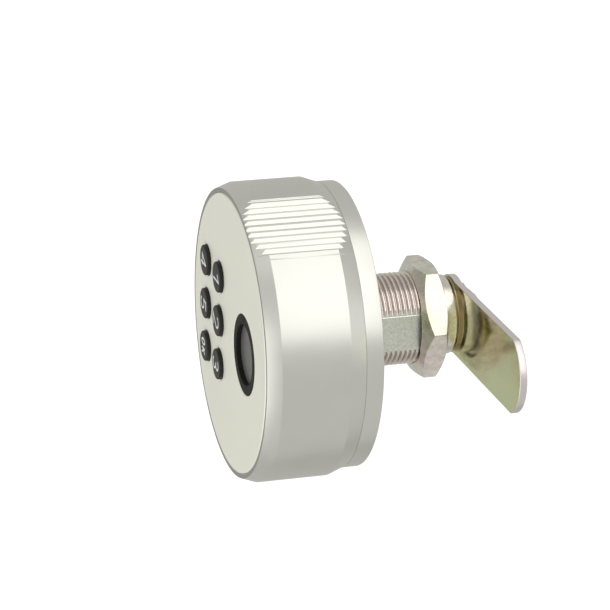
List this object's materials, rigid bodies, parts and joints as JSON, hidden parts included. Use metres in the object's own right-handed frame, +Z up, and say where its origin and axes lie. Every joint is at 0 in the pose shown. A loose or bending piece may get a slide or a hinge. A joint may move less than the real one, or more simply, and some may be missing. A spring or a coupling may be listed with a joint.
{
  "type": "fingerprint lock",
  "caption": "Electronic cam lock: a round knob with a fingerprint sensor and push buttons turns on a base ring with a threaded neck, and swings a flat cam behind the door.",
  "frame": {"origin": "centre of the base ring's rear face, on the lock's axis, where the ring lies on the door", "axes": "+Y along the axis into the door, -Y out of the front face, +Z up with the digits upright"},
  "size_m": [0.06, 0.0526, 0.0718],
  "materials": {
    "satin_aluminium": "satin, fine blasted",
    "zinc_alloy": "plain die cast",
    "zinc_steel": "bright zinc plate",
    "yellow_zinc_steel": "glossy yellow passivated zinc plate",
    "screw_steel": "zinc plate",
    "spring_brass": "plain",
    "key_plastic": "fine matt",
    "bezel_plastic": "textured",
    "pad_glass": "satin coating",
    "black_plastic": "plain",
    "board_laminate": "solder mask",
    "ribbon_film": "film",
    "white_slide_plastic": "plain",
    "gasket_rubber": "plain"
  },
  "bodies": {
    "base": {"base_ring": "satin_aluminium", "track_ring": "zinc_steel", "track_screws": "screw_steel", "slide_ring": "white_slide_plastic", "threaded_neck": "zinc_steel", "neck_screws": "screw_steel", "thrust_washer": "white_slide_plastic", "hex_nut": "zinc_steel"},
    "knob": {"battery_tray": "black_plastic", "board_parts": "black_plastic", "board_screws": "screw_steel", "bolt_motor": "zinc_alloy", "buzzer": "black_plastic", "cam": "yellow_zinc_steel", "cam_screw": "zinc_steel", "cell_left": "zinc_steel", "cell_right": "zinc_steel", "chassis": "zinc_alloy", "chassis_screws": "screw_steel", "clamp_screws": "screw_steel", "contact_strip": "spring_brass", "face_plate": "satin_aluminium", "guide_screws": "screw_steel", "key_guide": "black_plastic", "key_switches": "black_plastic", "knob_housing": "satin_aluminium", "lock_washer": "zinc_steel", "main_board": "board_laminate", "motor_clamp": "zinc_alloy", "plate_gasket": "gasket_rubber", "sensor_bezel": "bezel_plastic", "sensor_module": "black_plastic", "sensor_pad": "pad_glass", "sensor_ribbon": "ribbon_film", "spindle": "zinc_steel", "spindle_screws": "screw_steel", "stop_washer": "zinc_steel", "tray_screws": "screw_steel"},
    "button_1": {"button_1": "key_plastic"},
    "button_2": {"button_2": "key_plastic"},
    "button_3": {"button_3": "key_plastic"},
    "button_4": {"button_4": "key_plastic"},
    "button_5": {"button_5": "key_plastic"},
    "button_ok": {"button_ok": "key_plastic"},
    "lead_screw": {"lead_screw": "zinc_steel"},
    "lock_bolt": {"lock_bolt": "zinc_alloy"}
  },
  "joints": [
    {"name": "knob_turn", "type": "hinge", "parent": "base", "child": "knob", "pos_m": [0, 0, 0], "axis": [0, 1, 0], "range_deg": [0, 90]},
    {"name": "button_1_press", "type": "slide", "parent": "knob", "child": "button_1", "axis": [0, 1, 0], "range_m": [0, 0.0007], "stiffness_N_per_m": 900},
    {"name": "button_2_press", "type": "slide", "parent": "knob", "child": "button_2", "axis": [0, 1, 0], "range_m": [0, 0.0007], "stiffness_N_per_m": 900},
    {"name": "button_3_press", "type": "slide", "parent": "knob", "child": "button_3", "axis": [0, 1, 0], "range_m": [0, 0.0007], "stiffness_N_per_m": 900},
    {"name": "button_4_press", "type": "slide", "parent": "knob", "child": "button_4", "axis": [0, 1, 0], "range_m": [0, 0.0007], "stiffness_N_per_m": 900},
    {"name": "button_5_press", "type": "slide", "parent": "knob", "child": "button_5", "axis": [0, 1, 0], "range_m": [0, 0.0007], "stiffness_N_per_m": 900},
    {"name": "button_ok_press", "type": "slide", "parent": "knob", "child": "button_ok", "axis": [0, 1, 0], "range_m": [0, 0.0007], "stiffness_N_per_m": 900},
    {"name": "screw_turn", "type": "hinge", "parent": "knob", "child": "lead_screw", "pos_m": [0, -0.0085, -0.0196], "axis": [0, 1, 0], "range_deg": [0, 360]},
    {"name": "bolt_throw", "type": "slide", "parent": "knob", "child": "lock_bolt", "axis": [0, 1, 0], "range_m": [0, 0.002]}
  ],
  "couplings": [
    {"joint": "screw_turn", "follows": "bolt_throw", "rad_per_m": 3141.5}
  ]
}
